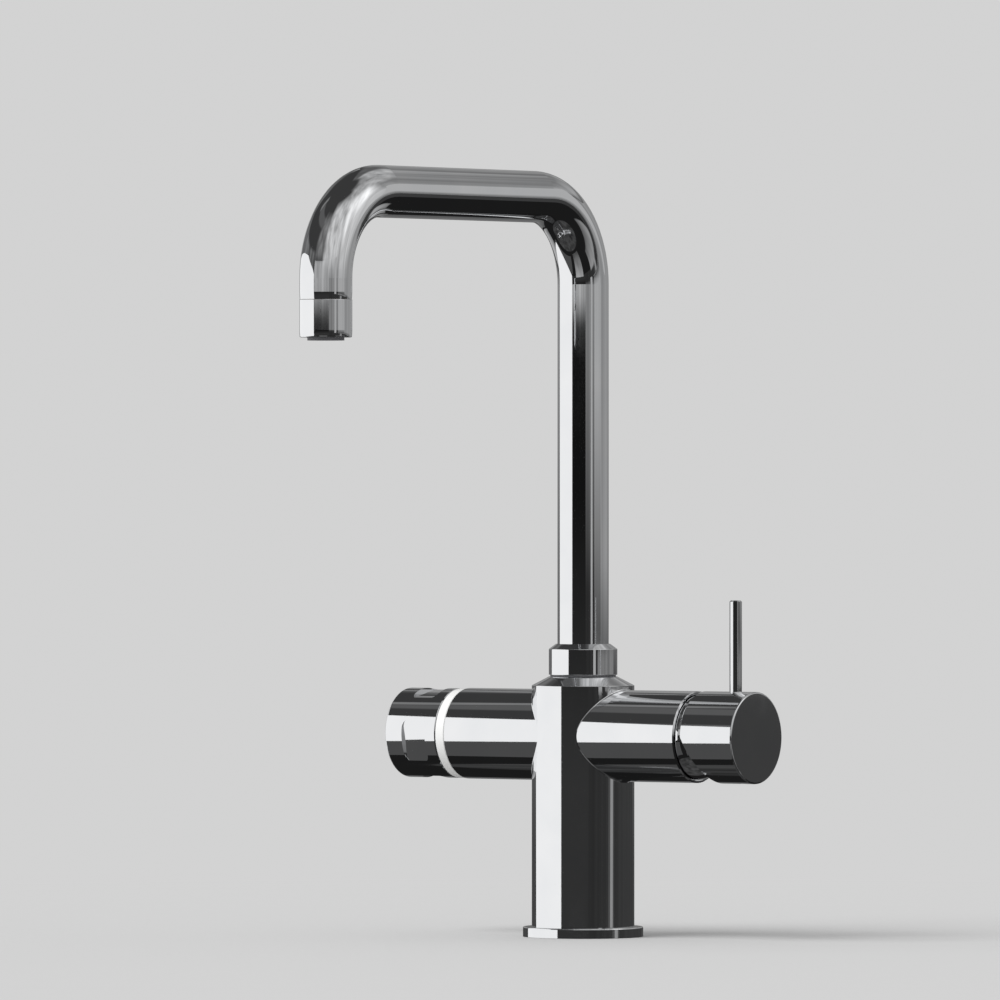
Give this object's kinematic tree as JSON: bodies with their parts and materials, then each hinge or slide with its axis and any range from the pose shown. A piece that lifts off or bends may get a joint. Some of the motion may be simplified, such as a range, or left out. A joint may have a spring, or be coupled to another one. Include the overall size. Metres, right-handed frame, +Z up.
{
  "type": "kitchen mixer tap",
  "caption": "Chrome kitchen mixer tap with a swivel C spout, a pin lever on its right arm that tilts over a dome, and a quarter-turn knob with a white ring on its left arm.",
  "frame": {"origin": "on the worktop under the middle of the body, at the underside of the base flange", "axes": "+Z up, +X along the right arm towards the mixer lever, the spout points along -Y at rest"},
  "size_m": [0.205, 0.2548, 0.372],
  "materials": {
    "chrome": "polished",
    "marker_white": "gloss",
    "brass": "turned",
    "rubber": "matt",
    "ceramic": "lapped",
    "steel": "machined",
    "plastic": "moulded",
    "aerator_plastic": "moulded"
  },
  "bodies": {
    "body": {"base_flange": "chrome", "base_seal": "rubber", "body_shell": "chrome", "waterway_core": "brass", "core_snap_ring": "steel", "shoulder_cap": "chrome", "spout_seat": "brass", "spout_clip": "steel", "swivel_washer": "aerator_plastic", "mixer_seat": "brass", "cartridge_base": "plastic", "cartridge_seals": "rubber", "fixed_ceramic_disc": "ceramic", "cartridge_shell": "plastic", "cartridge_nut": "brass", "handle_dome": "chrome", "valve_seat": "brass", "headwork_body": "brass", "headwork_gasket": "rubber", "headwork_seal": "rubber", "headwork_fixed_disc": "ceramic", "marker_ring": "marker_white"},
    "spout": {"spout_tube": "chrome", "spout_collar": "chrome", "collar_set_screw": "steel", "spout_foot": "brass", "spout_o_rings": "rubber", "inner_tube": "plastic", "outlet_nipple": "brass", "aerator_housing": "chrome", "aerator_gasket": "rubber", "aerator_insert": "aerator_plastic", "jet_nozzle": "aerator_plastic"},
    "mixer_rotor": {"cartridge_rotor": "plastic", "stem_pivot_pin": "steel"},
    "mixer_handle": {"cartridge_stem": "steel", "mixer_cap": "chrome", "lever_pin": "chrome", "handle_grub_screw": "steel"},
    "mixer_disc": {"moving_ceramic_disc": "ceramic", "disc_carrier": "plastic"},
    "knob": {"headwork_spindle": "brass", "headwork_moving_disc": "ceramic", "spindle_clip": "steel", "knob_carrier": "plastic", "knob_shell": "chrome", "knob_grub_screw": "steel"}
  },
  "joints": [
    {"name": "spout_swivel", "type": "hinge", "parent": "body", "child": "spout", "pos_m": [0, 0, 0.1274], "axis": [0, 0, 1], "range_deg": [-75, 75]},
    {"name": "mixer_turn", "type": "hinge", "parent": "body", "child": "mixer_rotor", "pos_m": [0.0665, 0, 0.098], "axis": [1, 0, 0], "range_deg": [-45, 45]},
    {"name": "mixer_tilt", "type": "hinge", "parent": "mixer_rotor", "child": "mixer_handle", "pos_m": [0.0665, 0, 0.098], "axis": [0, 1, 0], "range_deg": [0, 24]},
    {"name": "mixer_disc_slide", "type": "slide", "parent": "mixer_rotor", "child": "mixer_disc", "axis": [0, 0, 1], "range_m": [0, 0.005]},
    {"name": "knob_turn", "type": "hinge", "parent": "body", "child": "knob", "pos_m": [-0.088, 0, 0.098], "axis": [-1, 0, 0], "range_deg": [0, 90]}
  ],
  "couplings": [
    {"joint": "mixer_disc_slide", "follows": "mixer_tilt", "m_per_rad": 0.0115}
  ]
}
